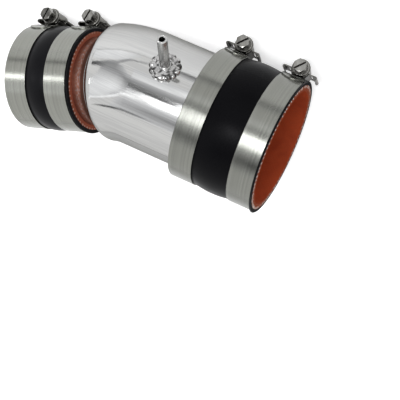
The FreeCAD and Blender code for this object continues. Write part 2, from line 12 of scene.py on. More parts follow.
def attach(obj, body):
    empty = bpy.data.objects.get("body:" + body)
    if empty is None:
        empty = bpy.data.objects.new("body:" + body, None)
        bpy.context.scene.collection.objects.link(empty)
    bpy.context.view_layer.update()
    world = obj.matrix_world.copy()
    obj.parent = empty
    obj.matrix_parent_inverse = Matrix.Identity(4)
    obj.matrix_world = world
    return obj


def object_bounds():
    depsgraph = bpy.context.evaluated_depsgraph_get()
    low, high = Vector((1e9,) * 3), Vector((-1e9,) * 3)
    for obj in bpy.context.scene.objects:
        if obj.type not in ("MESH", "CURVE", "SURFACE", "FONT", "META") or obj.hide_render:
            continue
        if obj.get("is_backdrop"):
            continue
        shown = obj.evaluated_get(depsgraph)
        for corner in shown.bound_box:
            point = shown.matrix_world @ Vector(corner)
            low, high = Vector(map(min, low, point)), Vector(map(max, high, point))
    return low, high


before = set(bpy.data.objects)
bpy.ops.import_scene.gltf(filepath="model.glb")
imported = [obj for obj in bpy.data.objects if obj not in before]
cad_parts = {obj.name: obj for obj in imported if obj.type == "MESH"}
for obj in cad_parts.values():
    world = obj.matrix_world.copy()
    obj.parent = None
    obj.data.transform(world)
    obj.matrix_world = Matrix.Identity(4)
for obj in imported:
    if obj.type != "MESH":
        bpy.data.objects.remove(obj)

log = logging.getLogger("turbo_pipe")

Colour = Tuple[float, float, float]
Point = Tuple[float, float, float]
Span = Tuple[float, float]
Material = bpy.types.Material
Tree = bpy.types.NodeTree
Node = bpy.types.Node
Socket = bpy.types.NodeSocket
Source = Union[Socket, float, Sequence[float]]
Inputs = Dict[Union[str, int], Source]

MM = 0.001
RISING: Span = (0.0, 1.0)
FALLING: Span = (1.0, 0.0)
FLOAT, VECTOR = "NodeSocketFloat", "NodeSocketVector"
WHITE = (1.0, 1.0, 1.0, 1.0)

# How the part lies at rest and the angle between the pipe's two axes, in degrees.
REST_TILT, REST_ROLL = -3.19, 5.81
BEND_ANGLE = 22.15
# Cut ends of the hoses, in mm along their axes from where these cross, the one at the pipe first.
SMALL_HOSE_ENDS = (-28.63, -77.48)
LARGE_HOSE_ENDS = (47.75, 105.35)

TILTED = Matrix.Rotation(math.radians(REST_TILT), 3, "Y")
ATTITUDE = TILTED @ Matrix.Rotation(math.radians(REST_ROLL), 3, "X")
CORNER = ATTITUDE @ Vector((-LARGE_HOSE_ENDS[1] * MM, 0.0, 0.0))
BEND = Matrix.Rotation(math.radians(BEND_ANGLE), 3, "Z")


class Axis(Enum):
    """Axes that the round pieces are turned about."""

    LARGE = "large"
    SMALL = "small"


@dataclass(frozen=True)
class AxisFrame:
    """Place and attitude of an axis, with local X along it.

    Attributes:
        origin: a point on the axis, in metres.
        turn: XYZ Euler angles in degrees.
    """

    origin: Point
    turn: Tuple[float, float, float]

    def matrix(self) -> Matrix:
        """Transform from the axis's own frame to the row frame."""
        angles = Euler([math.radians(a) for a in self.turn], "XYZ")
        return Matrix.Translation(Vector(self.origin)) @ angles.to_matrix().to_4x4()

    def direction(self) -> Point:
        """Direction of the axis in the row frame."""
        return tuple(self.matrix().to_3x3() @ Vector((1.0, 0.0, 0.0)))


def axis_frame(axis: Axis) -> AxisFrame:
    """Frame of one of the two axes, with its origin where they cross.

    Args:
        axis: the axis asked for.

    Returns:
        The frame in row coordinates.
    """
    turn = ATTITUDE if axis is Axis.LARGE else ATTITUDE @ BEND
    angles = turn.to_euler("XYZ")
    return AxisFrame(tuple(CORNER), tuple(math.degrees(a) for a in angles))


class Graph:
    """Small helper that adds and joins the nodes of one tree."""

    def __init__(self, tree: Tree) -> None:
        """Keeps the tree that nodes are added to.

        Args:
            tree: a material's, world's or group's node tree.
        """
        self.tree = tree

    def feed(self, node: Node, inputs: Inputs) -> None:
        """Gives a node's sockets what they take.

        Args:
            node: the node.
            inputs: socket name or index to a constant or to another node's output.
        """
        for key, source in inputs.items():
            if isinstance(source, Socket):
                self.tree.links.new(source, node.inputs[key])
            else:
                node.inputs[key].default_value = source

    def add(self, kind: str, inputs: Optional[Inputs] = None, **settings: object) -> Node:
        """Adds a node.

        Args:
            kind: the node's type without its ShaderNode prefix.
            inputs: what its sockets take, as in feed.
            settings: attributes of the node.

        Returns:
            The new node.
        """
        prefix = "" if kind.startswith("NodeGroup") else "ShaderNode"
        node = self.tree.nodes.new(prefix + kind)
        for name, setting in settings.items():
            setattr(node, name, setting)
        self.feed(node, inputs or {})
        return node

    def group(self, tree: Tree, inputs: Inputs) -> Node:
        """Adds a shader group with its inputs and returns its node."""
        return self.add("Group", inputs, node_tree=tree)

    def math(self, operation: str, a: Source, b: Source = 0.0) -> Socket:
        """Adds a Math node and returns its output."""
        return self.add("Math", {0: a, 1: b}, operation=operation).outputs[0]

    def total(self, base: Source, *parts: Tuple[Source, float]) -> Socket:
        """Adds shares of some values to a base.

        Args:
            base: what the shares are added to.
            parts: each value with its share.

        Returns:
            The sum.
        """
        for source, share in parts:
            base = self.math("ADD", base, self.math("MULTIPLY", source, share))
        return base

    def facing(self, direction: Source) -> Socket:
        """How far the surface looks along a direction."""
        normal = self.add("NewGeometry").outputs["Normal"]
        return self.add("VectorMath", {0: normal, 1: direction}, operation="DOT_PRODUCT").outputs["Value"]

    def blend(self, factor: Source, a: Source, b: Source, share: float = 1.0) -> Socket:
        """Mixes two colours.

        Args:
            factor: how much there is of the second colour, from 0 to 1.
            a: the first colour.
            b: the second colour.
            share: how much of the factor counts.

        Returns:
            The mixed colour.
        """
        if share != 1.0:
            factor = self.math("MULTIPLY", factor, share)
        first, second = (tone if isinstance(tone, Socket) else (*tone, 1.0) for tone in (a, b))
        return self.add("Mix", {0: factor, 6: first, 7: second}, data_type="RGBA").outputs[2]

    def ramp(self, value: Source, span: Span, out: Span = RISING) -> Socket:
        """Maps a value's range smoothly to another and returns the result."""
        inputs = {0: value, 1: span[0], 2: span[1], 3: out[0], 4: out[1]}
        return self.add("MapRange", inputs, interpolation_type="SMOOTHSTEP").outputs[0]

    def seen(self) -> Socket:
        """Tells what is seen, straight, mirrored or through something, from what only lights.

        Returns:
            The mask, 1 where it is seen.
        """
        rays = self.add("LightPath").outputs
        seen = self.math("MAXIMUM", rays["Is Camera Ray"], rays["Is Glossy Ray"])
        return self.math("MAXIMUM", seen, rays["Is Transmission Ray"])

    def noise(self, scale: Source, detail: float, point: Optional[Socket] = None, **more: float) -> Socket:
        """Adds noise.

        Args:
            scale: its grains per metre, or per step of the point.
            detail: how many finer layers it has.
            point: where it is read, instead of the surface's own place.
            more: other inputs of the node.

        Returns:
            The noise's height, from 0 to 1.
        """
        place = point or self.add("TexCoord").outputs["Object"]
        return self.add("TexNoise", {"Vector": place, "Scale": scale, "Detail": detail, **more}).outputs[0]


def new_group(name: str, inputs: Dict[str, str], outputs: Dict[str, str]) -> Tuple[Graph, Node, Node]:
    """Makes an empty shader group with its sockets.

    Args:
        name: the group's name.
        inputs: the inputs' names, each with its socket type.
        outputs: the outputs' names, each with its socket type.

    Returns:
        The group's graph, and its input and output nodes.
    """
    group = bpy.data.node_groups.new(name, "ShaderNodeTree")
    for side, sockets in (("INPUT", inputs), ("OUTPUT", outputs)):
        for label, kind in sockets.items():
            group.interface.new_socket(label, in_out=side, socket_type=kind)
    graph = Graph(group)
    return graph, graph.add("NodeGroupInput"), graph.add("NodeGroupOutput")


def new_material(name: str) -> Tuple[Material, Graph]:
    """Makes a material with nothing in its tree.

    Args:
        name: the material's name.

    Returns:
        The material and its graph.
    """
    material = bpy.data.materials.new(name)
    material.use_nodes = True
    material.node_tree.nodes.clear()
    return material, Graph(material.node_tree)


def new_object(name: str, verts: Sequence[Point], faces: Sequence[Tuple[int, ...]], material: Material
               ) -> bpy.types.Object:
    """Makes a mesh object and puts it in the scene.

    Args:
        name: what the object and its mesh are called.
        verts: the mesh's points, in metres.
        faces: its faces, by the numbers of their points.
        material: what it is made of.

    Returns:
        The object.
    """
    mesh = bpy.data.meshes.new(name)
    mesh.from_pydata(verts, [], faces)
    mesh.materials.append(material)
    made = bpy.data.objects.new(name, mesh)
    bpy.context.scene.collection.objects.link(made)
    return made


class SharedEffects:
    """Effects that several finishes use, each built once as a shader group."""

    def __init__(self) -> None:
        """Builds every group."""
        self.round_coordinates = self._round_coordinates()
        self.drawn_lines = self._drawn_lines()
        self.edge_wear = self._edge_wear()
        self.handling = self._handling()
        self.corner_shading = self._corner_shading()

    @staticmethod
    def _round_coordinates() -> Tree:
        """Splits a point in an axis's frame into its length along, radius and turn.

        Returns:
            The shader group.
        """
        graph, source, sink = new_group(
            "round_coordinates", {"Point": VECTOR}, {"Along": FLOAT, "Radius": FLOAT, "Turn": FLOAT})
        x, y, z = graph.add("SeparateXYZ", {0: source.outputs[0]}).outputs
        square = graph.math("ADD", graph.math("MULTIPLY", y, y), graph.math("MULTIPLY", z, z))
        graph.feed(sink, {0: x, 1: graph.math("SQRT", square), 2: graph.math("ARCTAN2", z, y)})
        return graph.tree

    @staticmethod
    def _drawn_lines() -> Tree:
        """Fine parallel lines left by drawing, rolling or polishing a metal.

        Returns:
            The shader group.
        """
        graph, source, sink = new_group(
            "drawn_lines", {"Across": FLOAT, "Along": FLOAT, "Density": FLOAT, "Stretch": FLOAT},
            {"Lines": FLOAT, "Streaks": FLOAT})
        across, along, density, stretch = source.outputs[:4]
        streak_scale = 0.11
        fine = graph.add("CombineXYZ", {
            0: graph.math("MULTIPLY", across, density),
            1: graph.math("MULTIPLY", along, graph.math("MULTIPLY", density, stretch)),
        }).outputs[0]
        coarse = graph.add("VectorMath", {0: fine, 3: streak_scale}, operation="SCALE").outputs[0]
        lines = graph.noise(scale=1.0, detail=4.0, point=fine, Roughness=0.65)
        graph.feed(sink, {0: lines, 1: graph.noise(scale=1.0, detail=2.0, point=coarse)})
        return graph.tree

    @staticmethod
    def _edge_wear() -> Tree:
        """Softens sharp edges and masks the bright rub along them.

        Returns:
            The shader group.
        """
        graph, source, sink = new_group("edge_wear", {"Width": FLOAT}, {"Wear": FLOAT, "Rounded": VECTOR})
        worn_to_clean, gaps_to_specks = (0.70, 0.985), (0.3, 0.55)
        rounded = graph.add("Bevel", {"Radius": source.outputs[0]}, samples=6).outputs[0]
        edge = graph.ramp(graph.facing(rounded), worn_to_clean, FALLING)
        specks = graph.ramp(graph.noise(scale=900.0, detail=3.0), gaps_to_specks)
        graph.feed(sink, {0: graph.math("MULTIPLY", edge, specks), 1: rounded})
        return graph.tree

    @staticmethod
    def _handling() -> Tree:
        """Soft smudges and fine dust that vary over a surface.

        Returns:
            The shader group.
        """
        graph, source, sink = new_group("handling", {"Size": FLOAT}, {"Smudge": FLOAT, "Dust": FLOAT})
        clean_to_smudged, clean_to_dusty, dust_fineness = (0.35, 0.75), (0.55, 0.8), 40.0
        size = source.outputs[0]
        smudge = graph.noise(scale=size, detail=3.0, Distortion=0.6)
        dust = graph.noise(scale=graph.math("MULTIPLY", size, dust_fineness), detail=2.0)
        graph.feed(sink, {0: graph.ramp(smudge, clean_to_smudged), 1: graph.ramp(dust, clean_to_dusty)})
        return graph.tree

    @staticmethod
    def _corner_shading() -> Tree:
        """Masks the gaps and corners that get painted shade, broken up in patches.

        Returns:
            The shader group.
        """
        graph, source, sink = new_group("corner_shading", {"Reach": FLOAT}, {"CornerShade": FLOAT})
        closed_to_open, thin_to_thick, least_and_most = (0.35, 0.92), (0.2, 0.55), (0.75, 1.0)
        # Painted shade where little light reaches, taken from ambient occlusion.
        opening = graph.add("AmbientOcclusion", {"Distance": source.outputs[0]}, samples=12)
        corner_darkness = graph.ramp(opening.outputs["AO"], closed_to_open, FALLING)
        patches = graph.ramp(graph.noise(scale=420.0, detail=3.0), thin_to_thick, least_and_most)
        graph.feed(sink, {0: graph.math("MULTIPLY", corner_darkness, patches)})
        return graph.tree


class Finish:
    """Base of every finish: makes its material and holds the shared effects.

    Attributes:
        effects: the shared effects, set once before any finish makes its material.
    """

    effects: SharedEffects

    @staticmethod
    def start(name: str) -> Tuple[Material, Graph, Node]:
        """Makes a material that has only its shader.

        Args:
            name: the material's name.

        Returns:
            The material, its graph and its Principled BSDF.
        """
        material, graph = new_material(name)
        shader = graph.add("BsdfPrincipled")
        graph.add("OutputMaterial", {0: shader.outputs[0]})
        return material, graph, shader

    @classmethod
    def around(cls, graph: Graph, place: AxisFrame) -> Node:
        """Adds round coordinates about an axis.

        Args:
            graph: the material's graph.
            place: the axis.

        Returns:
            The node whose outputs are Along, Radius and Turn.
        """
        local = graph.add("Mapping", {
            "Vector": graph.add("TexCoord").outputs["Object"],
            "Location": place.origin,
            "Rotation": [math.radians(a) for a in place.turn],
        }, vector_type="TEXTURE")
        return graph.group(cls.effects.round_coordinates, {0: local.outputs[0]})

    @staticmethod
    def bump(graph: Graph, shader: Node, height: Socket, depth: float, strength: float,
             under: Optional[Socket] = None) -> None:
        """Feeds a height to the shader's normal.

        Args:
            graph: the material's graph.
            shader: the material's shader.
            height: the height of the surface, from 0 to 1.
            depth: what a height of 1 stands for, in metres.
            strength: how strongly it shows.
            under: the softened normal that it goes over, where there is one.
        """
        inputs = {"Height": height, "Distance": depth, "Strength": strength}
        if under:
            inputs["Normal"] = under
        graph.feed(shader, {"Normal": graph.add("Bump", inputs).outputs[0]})


@dataclass(frozen=True)
class Neck:
    """Stretch of tube beside a hose, dull, with a painted brown reflection of the hose's lining.

    Attributes:
        axis: the axis that the stretch lies on.
        foot: where the shoulder ends, in metres from the axis's origin.
        lip: where the hose begins.
        pale: painted reflection of the lining beside the hose.
        deep: darker painted reflection beside the shoulder.
        scuff: tone of the strip round the middle that is rubbed bare.
        roughness: least roughness of the painted stretch.
        radius: radius of the tube there, in metres.
        fade: how far past the foot the painted reflection begins to fade, and how far it reaches, in
            metres.
        blush: how wide the change from pale to deep is.
        strip: the same as fade for the rubbed strip, from the middle.
        rubs: line levels from painted brown to bare.
        smudge_rough: roughness that smudges add.
    """

    axis: AxisFrame
    foot: float
    lip: float
    pale: Colour = (0.34, 0.145, 0.098)
    deep: Colour = (0.075, 0.034, 0.025)
    scuff: Colour = (0.40, 0.39, 0.40)
    roughness: float = 0.42
    radius: float = 0.028
    fade: Span = (0.0002, 0.0010)
    blush: float = 0.0028
    strip: Span = (0.0006, 0.0026)
    rubs: Span = (0.46, 0.66)
    smudge_rough: float = 0.12

    def brown_tint(self, finish: Finish, graph: Graph, tone: Socket, rough: Socket) -> Tuple[Socket, Socket]:
        """Lays the painted reflection over a tone and a roughness.

        Args:
            finish: the finish that it is laid over.
            graph: the material's graph.
            tone: the colour so far.
            rough: the roughness so far.

        Returns:
            The colour with the painted reflection, and the roughness.
        """
        place = finish.around(graph, self.axis)
        along = place.outputs["Along"]
        middle = (self.foot + self.lip) / 2
        mask = graph.ramp(along, (self.fade[0] - self.foot, self.fade[1] - self.foot), FALLING)
        smudge = graph.group(finish.effects.handling, {"Size": 260.0}).outputs["Smudge"]
        # Painted reflection of the orange lining: pale beside the hose, darker towards the shoulder.
        blush = graph.ramp(along, (-middle, self.blush - middle), FALLING)
        brown = graph.blend(blush, self.deep, self.pale)
        brown = graph.blend(smudge, brown, self.deep, share=0.35)
        lines = graph.group(finish.effects.drawn_lines, {
            "Across": along, "Along": graph.math("MULTIPLY", place.outputs["Turn"], self.radius),
            "Density": 1500.0, "Stretch": 0.35,
        }).outputs["Lines"]
        offset = graph.math("ABSOLUTE", graph.math("ADD", along, middle))
        strip = graph.ramp(offset, self.strip, FALLING)
        scuffs = graph.math("MULTIPLY", strip, graph.ramp(lines, self.rubs))
        brown = graph.blend(scuffs, brown, self.scuff, share=0.7)
        gap = graph.math("SUBTRACT", graph.total(self.roughness, (smudge, self.smudge_rough)), rough)
        return graph.blend(mask, tone, brown), graph.math("ADD", rough, graph.math("MULTIPLY", gap, mask))


@dataclass(frozen=True)
class PolishedTube(Finish):
    """Mirror polish on drawn tube, with fine lengthways lines.

    Attributes:
        colour: tone of the polished metal.
        shade: tone of its darker lines.
        edge: tone of the metal where it is seen at a low angle.
        worn: tone of the bright rub along edges.
        drawn: tone of the inner wall.
        roughness: mean roughness of the polish.
        radius: radius of the tube, in metres.
        levels: levels of lines and streaks from shade to colour.
        line_rough: roughness that the lines add.
        smudge_rough: roughness that smudges add.
        drawn_rough: how much rougher the inner wall is.
        inward: how far a face looks at the axis, from inside to outside, in metres.
    """

    colour: Colour = (0.58, 0.58, 0.57)
    shade: Colour = (0.515, 0.515, 0.51)
    edge: Colour = (0.42, 0.42, 0.41)
    worn: Colour = (0.85, 0.85, 0.84)
    drawn: Colour = (0.40, 0.395, 0.385)
    roughness: float = 0.05
    radius: float = 0.038
    levels: Span = (0.86, 1.14)
    line_rough: float = 0.04
    smudge_rough: float = 0.06
    drawn_rough: float = 0.25
    inward: Span = (-0.008, -0.002)

    def inside(self, graph: Graph, place: AxisFrame) -> Socket:
        """Masks the tube's inner wall, which the polishing wheel never reached.

        Args:
            graph: the material's graph.
            place: the tube's axis.

        Returns:
            The mask, 1 on the inner wall.
        """
        point = graph.add("TexCoord").outputs["Object"]
        arm = graph.add("VectorMath", {0: point, 1: place.origin}, operation="SUBTRACT").outputs[0]
        along = graph.add("VectorMath", {0: arm, 1: place.direction()}, operation="PROJECT").outputs[0]
        out = graph.add("VectorMath", {0: arm, 1: along}, operation="SUBTRACT").outputs[0]
        return graph.ramp(graph.facing(out), self.inward, FALLING)

    def material(self, name: str, place: AxisFrame, neck: Optional[Neck] = None) -> Material:
        """Builds the material about an axis.

        Args:
            name: the material's name.
            place: the axis that the lines run along.
            neck: the stretch beside the hose with its painted reflection, where there is one.

        Returns:
            The finished material.
        """
        material, graph, shader = self.start(name)
        spot = self.around(graph, place)
        grain = graph.group(self.effects.drawn_lines, {
            "Across": graph.math("MULTIPLY", spot.outputs["Turn"], self.radius),
            "Along": spot.outputs["Along"], "Density": 900.0, "Stretch": 0.03,
        })
        lines = grain.outputs["Lines"]
        smudge = graph.group(self.effects.handling, {"Size": 28.0}).outputs["Smudge"]
        wear = graph.group(self.effects.edge_wear, {"Width": 0.0003})
        level = graph.math("ADD", grain.outputs["Streaks"], lines)
        tone = graph.blend(graph.ramp(level, self.levels), self.shade, self.colour)
        tone = graph.blend(wear.outputs["Wear"], tone, self.worn)
        rough = graph.total(self.roughness - self.line_rough / 2,
                            (lines, self.line_rough), (smudge, self.smudge_rough))
        if neck:
            # Painted reflection of the hose's lining on the neck.
            tone, rough = neck.brown_tint(self, graph, tone, rough)
        inner = self.inside(graph, place)
        graph.feed(shader, {
            "Base Color": graph.blend(inner, tone, self.drawn),
            "Roughness": graph.total(rough, (inner, self.drawn_rough)),
            "Metallic": 1.0,
            "Specular Tint": (*self.edge, 1.0),
        })
        self.bump(graph, shader, lines, depth=0.00003, strength=0.5, under=wear.outputs["Rounded"])
        return material


@dataclass(frozen=True)
class WeldMetal(Finish):
    """Bright weld metal with fine frozen ripples and darker pits between them.

    Attributes:
        colour: tone of the bright metal.
        shade: tone of the pits.
        roughness: least roughness.
        pits: ripple levels from pit to bright metal.
        fine_height: height of the finer ripples against the others.
        smudge_rough: roughness that smudges add.
    """

    colour: Colour = (0.46, 0.455, 0.45)
    shade: Colour = (0.07, 0.07, 0.068)
    roughness: float = 0.2
    pits: Span = (0.40, 0.56)
    fine_height: float = 0.35
    smudge_rough: float = 0.08

    def material(self, name: str) -> Material:
        """Builds the material.

        Args:
            name: the material's name.

        Returns:
            The finished material.
        """
        material, graph, shader = self.start(name)
        ripple = graph.noise(scale=400.0, detail=2.0)
        smudge = graph.group(self.effects.handling, {"Size": 90.0}).outputs["Smudge"]
        graph.feed(shader, {
            "Base Color": graph.blend(graph.ramp(ripple, self.pits), self.shade, self.colour),
            "Roughness": graph.total(self.roughness, (smudge, self.smudge_rough)),
            "Metallic": 1.0,
        })
        height = graph.total(ripple, (graph.noise(scale=1500.0, detail=3.0), self.fine_height))
        self.bump(graph, shader, height, depth=0.0006, strength=0.5)
        return material


@dataclass(frozen=True)
class LinedRubber(Finish):
    """Black silicone with an orange lining that shows in the bore and at the cut ends.

    Attributes:
        skin: tone of the black silicone.
        skin_worn: its tone under dust and along edges.
        lining: tone of the lining in the bore.
        lining_shade: tone of its smudges.
        face: tone of the lining where it is cut.
        gloss: how much light it mirrors.
        cut: how far a face looks along the axis, from a side to a cut end.
        lining_depth: where the lining of the bore ends, in mm from the bore.
        seam_blur: how soft the seam between skin and lining is, in mm.
        cloth: ribs of the cloth wrap, along and round the hose.
        roughness: least roughness of the skin.
        cut_rough: how much rougher a cut end is.
        lining_rough: how much rougher the lining is.
        smudge_rough: roughness that smudges add.
    """

    skin: Colour = (0.006, 0.006, 0.007)
    skin_worn: Colour = (0.018, 0.018, 0.0195)
    lining: Colour = (0.46, 0.078, 0.028)
    lining_shade: Colour = (0.37, 0.058, 0.022)
    face: Colour = (0.27, 0.062, 0.028)
    gloss: float = 0.13
    cut: Span = (0.93, 0.96)
    lining_depth: Span = (0.9, 1.0)
    seam_blur: float = 0.05
    cloth: Tuple[float, float] = (2600.0, 90.0)
    roughness: float = 0.29
    cut_rough: float = 0.42
    lining_rough: float = 0.12
    smudge_rough: float = 0.08

    def material(self, name: str, place: AxisFrame, bore: float, seam: float) -> Material:
        """Builds the material of one hose.

        Args:
            name: the material's name.
            place: the hose's axis.
            bore: bore radius in mm.
            seam: radius in mm where skin and lining meet in a cut end.

        Returns:
            The finished material.
        """
        material, graph, shader = self.start(name)
        spot = self.around(graph, place)
        radius = graph.math("MULTIPLY", spot.outputs["Radius"], 1 / MM)
        end = graph.ramp(graph.math("ABSOLUTE", graph.facing(place.direction())), self.cut)
        under_skin = graph.ramp(radius, (seam - self.seam_blur, seam + self.seam_blur), FALLING)
        face = graph.math("MULTIPLY", end, under_skin)
        in_bore = graph.ramp(radius, (bore + self.lining_depth[0], bore + self.lining_depth[1]), FALLING)
        inner = graph.math("MAXIMUM", face, in_bore)
        hands = graph.group(self.effects.handling, {"Size": 60.0})
        wear = graph.group(self.effects.edge_wear, {"Width": 0.0004})
        smudge = hands.outputs["Smudge"]
        black = graph.blend(hands.outputs["Dust"], self.skin, self.skin_worn, share=0.35)
        black = graph.blend(wear.outputs["Wear"], black, self.skin_worn, share=0.4)
        orange = graph.blend(face, graph.blend(smudge, self.lining, self.lining_shade), self.face)
        graph.feed(shader, {
            "Base Color": graph.blend(inner, black, orange),
            "Roughness": graph.total(self.roughness, (smudge, self.smudge_rough), (end, self.cut_rough),
                                     (inner, self.lining_rough)),
            "Specular IOR Level": self.gloss,
            "Specular Tint": (0.5, 0.5, 0.52, 1.0),
        })
        ribs = [graph.math("SINE", graph.math("MULTIPLY", spot.outputs[way], count))
                for way, count in zip(("Along", "Turn"), self.cloth)]
        cloth = graph.math("MULTIPLY", *ribs)
        self.bump(graph, shader, cloth, depth=0.00004, strength=0.3, under=wear.outputs["Rounded"])
        return material


@dataclass(frozen=True)
class Yarn(Finish):
    """Pale woven yarn, greyed and rusty with rubber where it was cut.

    Attributes:
        colour: tone of the clean yarn.
        brown_tint: tone of the rubber on it.
        stained: smudge levels from clean to stained.
        fray: noise levels from clean fibres to stained ones.
    """

    colour: Colour = (0.80, 0.75, 0.69)
    brown_tint: Colour = (0.32, 0.13, 0.08)
    stained: Span = (0.35, 0.9)
    fray: Span = (0.45, 0.75)

    def material(self, name: str) -> Material:
        """Builds the material.

        Args:
            name: the material's name.

        Returns:
            The finished material.
        """
        material, graph, shader = self.start(name)
        smudge = graph.group(self.effects.handling, {"Size": 70.0}).outputs["Smudge"]
        fibres = graph.noise(scale=5200.0, detail=2.0)
        tone = graph.blend(graph.ramp(smudge, self.stained), self.colour, self.brown_tint)
        tone = graph.blend(graph.ramp(fibres, self.fray), tone, self.brown_tint, share=0.6)
        graph.feed(shader, {"Base Color": tone, "Roughness": 0.85})
        self.bump(graph, shader, fibres, depth=0.00008, strength=0.6)
        return material


@dataclass(frozen=True)
class Steel(Finish):
    """Stainless strip or sheet with rolling lines.

    Attributes:
        colour: tone of the bare metal.
        shade: tone of the streaks.
        roughness: mean roughness.
        density: rolling lines per metre.
        line_bump: how strongly the lines show.
        corner_darkness: how dark the painted shade in its corners is, from 0 to 1.
        corner_shade_tone: colour of that painted shade.
        radius: mean radius of the strip, in metres.
        lean: how much a step outward counts as one across the lines.
        streaks: streak levels from shade to colour.
        edge_gain: how much brighter the metal is along its edges.
        line_rough: roughness that the lines add.
        smudge_rough: roughness that smudges add.
    """

    colour: Colour
    shade: Colour
    roughness: float
    density: float
    line_bump: float
    corner_darkness: float = 0.9
    corner_shade_tone: Colour = (0.018, 0.016, 0.014)
    radius: float = 0.04
    lean: float = 0.7
    streaks: Span = (0.3, 0.7)
    edge_gain: float = 1.8
    line_rough: float = 0.08
    smudge_rough: float = 0.05

    def material(self, name: str, place: AxisFrame) -> Material:
        """Builds the material with its lines running round an axis.

        Args:
            name: the material's name.
            place: the axis that the strip goes round.

        Returns:
            The finished material.
        """
        material, graph, shader = self.start(name)
        spot = self.around(graph, place)
        grain = graph.group(self.effects.drawn_lines, {
            "Across": graph.total(spot.outputs["Along"], (spot.outputs["Radius"], self.lean)),
            "Along": graph.math("MULTIPLY", spot.outputs["Turn"], self.radius),
            "Density": self.density, "Stretch": 0.003,
        })
        lines = grain.outputs["Lines"]
        smudge = graph.group(self.effects.handling, {"Size": 45.0}).outputs["Smudge"]
        wear = graph.group(self.effects.edge_wear, {"Width": 0.0003})
        # Painted shade: darkens the metal in its corners and gaps, broken up in patches.
        corner_darkness = graph.group(self.effects.corner_shading, {"Reach": 0.0032}).outputs["CornerShade"]
        rubbed = tuple(min(1.0, c * self.edge_gain) for c in self.colour)
        tone = graph.blend(graph.ramp(grain.outputs["Streaks"], self.streaks), self.shade, self.colour)
        tone = graph.blend(smudge, tone, self.shade, share=0.12)
        tone = graph.blend(corner_darkness, tone, self.corner_shade_tone, self.corner_darkness)
        graph.feed(shader, {
            "Base Color": graph.blend(wear.outputs["Wear"], tone, rubbed),
            "Roughness": graph.total(self.roughness - self.line_rough / 2,
                                     (lines, self.line_rough), (smudge, self.smudge_rough)),
            "Metallic": 1.0,
        })
        self.bump(graph, shader, lines, depth=0.00003, strength=self.line_bump,
                  under=wear.outputs["Rounded"])
        return material


class Station(NamedTuple):
    """One place along a panel that the polished metal mirrors.

    Attributes:
        x: where it is along the part's length, in metres.
        low: the panel's near edge, in degrees round the part's length from +Y toward +Z.
        high: its far edge.
        near: how bright the near edge is, where 1 is white.
        far: how bright the far edge is.
    """

    x: float
    low: float
    high: float
    near: float
    far: float


@dataclass(frozen=True)
class Card:
    """A long curved panel round the part, one of those that its polished metal mirrors.

    Attributes:
        name: the panel's name.
        distance: how far off it hangs, in metres.
        wave: how far its edges wander, in degrees.
        stations: its shape and how bright it is from right to left, each as in Station.
    """

    name: str
    distance: float
    wave: float
    stations: Tuple[Tuple[float, ...], ...]

    # Steps between two stations, points across the panel, grain of the wave, and colour of the light.
    STEPS = 12
    SIDES = (0.0, 0.5, 1.0)
    WAVE_SCALE = (60.0, 3.0, 40.0)
    LIGHT = (0.97, 0.98, 1.0, 1.0)

    def rows(self) -> List[Station]:
        """Puts even steps between the stations.

        Returns:
            The stations with the new ones among them.
        """
        rows = [Station(*self.stations[0])]
        for here, there in zip(self.stations, self.stations[1:]):
            for step in range(1, self.STEPS + 1):
                part = step / self.STEPS
                rows.append(Station(*(a + (b - a) * part for a, b in zip(here, there))))
        return rows

    def build(self) -> None:
        """Hangs the panel round the part's length."""
        verts, tones, faces = [], [], []
        rows = self.rows()
        for row in rows:
            for side in self.SIDES:
                where = [a * b for a, b in zip((row.x, side, self.distance), self.WAVE_SCALE)]
                drift = self.wave * noise.noise(Vector(where))
                turn = math.radians(row.low + (row.high - row.low) * side + drift)
                verts.append((row.x, self.distance * math.cos(turn), self.distance * math.sin(turn)))
                tones.append(row.near + (row.far - row.near) * side)
        width = len(self.SIDES)
        for k in range(len(rows) - 1):
            for side in range(width - 1):
                first = width * k + side
                faces.append((first, first + 1, first + width + 1, first + width))
        material, graph = new_material(self.name)
        tone = graph.add("Attribute", attribute_name="level").outputs["Fac"]
        glow = graph.add("Emission", {"Color": self.LIGHT, "Strength": tone})
        graph.add("OutputMaterial", {0: glow.outputs[0]})
        card = new_object(self.name, verts, faces, material)
        card.data.attributes.new("level", "FLOAT", "POINT").data.foreach_set("value", tones)
        card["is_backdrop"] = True


LEFT_SKY = Card("left_sky", 1.34, 1.0, (
    (-0.56, 0.0, 3.0, 1.0, 1.0),
    (-0.75, -1.0, 14.0, 1.2, 1.1),
    (-1.0, -1.0, 20.0, 1.35, 1.25),
    (-1.45, -1.0, 24.0, 1.35, 1.25),
    (-2.15, -1.0, 22.0, 1.25, 1.2),
    (-2.27, -1.0, 22.0, 1.0, 1.0),
))
HORIZON_LINE = Card("horizon_line", 1.32, 0.6, (
    (0.20, -2.0, 11.0, 0.1, 0.95),
    (-0.46, -2.0, 11.0, 0.1, 0.95),
    (-0.475, 0.8, 3.5, 0.45, 0.6),
    (-0.505, 6.0, 9.0, 0.6, 0.6),
    (-0.54, 12.5, 15.5, 0.5, 0.5),
    (-0.73, 13.0, 18.0, 0.5, 0.65),
    (-1.0, 23.0, 31.0, 0.7, 0.5),
    (-1.32, 27.0, 35.0, 0.6, 0.4),
    (-1.75, 32.0, 38.0, 0.5, 0.3),
))
FRONT_LIGHT = Card("front_light", 1.31, 1.0, (
    (0.20, 30.0, 42.0, 1.1, 1.7),
    (-0.46, 30.0, 42.0, 1.1, 1.7),
    (-0.48, 29.0, 46.0, 0.95, 1.35),
    (-0.55, 29.0, 47.0, 0.95, 1.35),
    (-0.60, 26.0, 46.0, 0.95, 1.1),
))
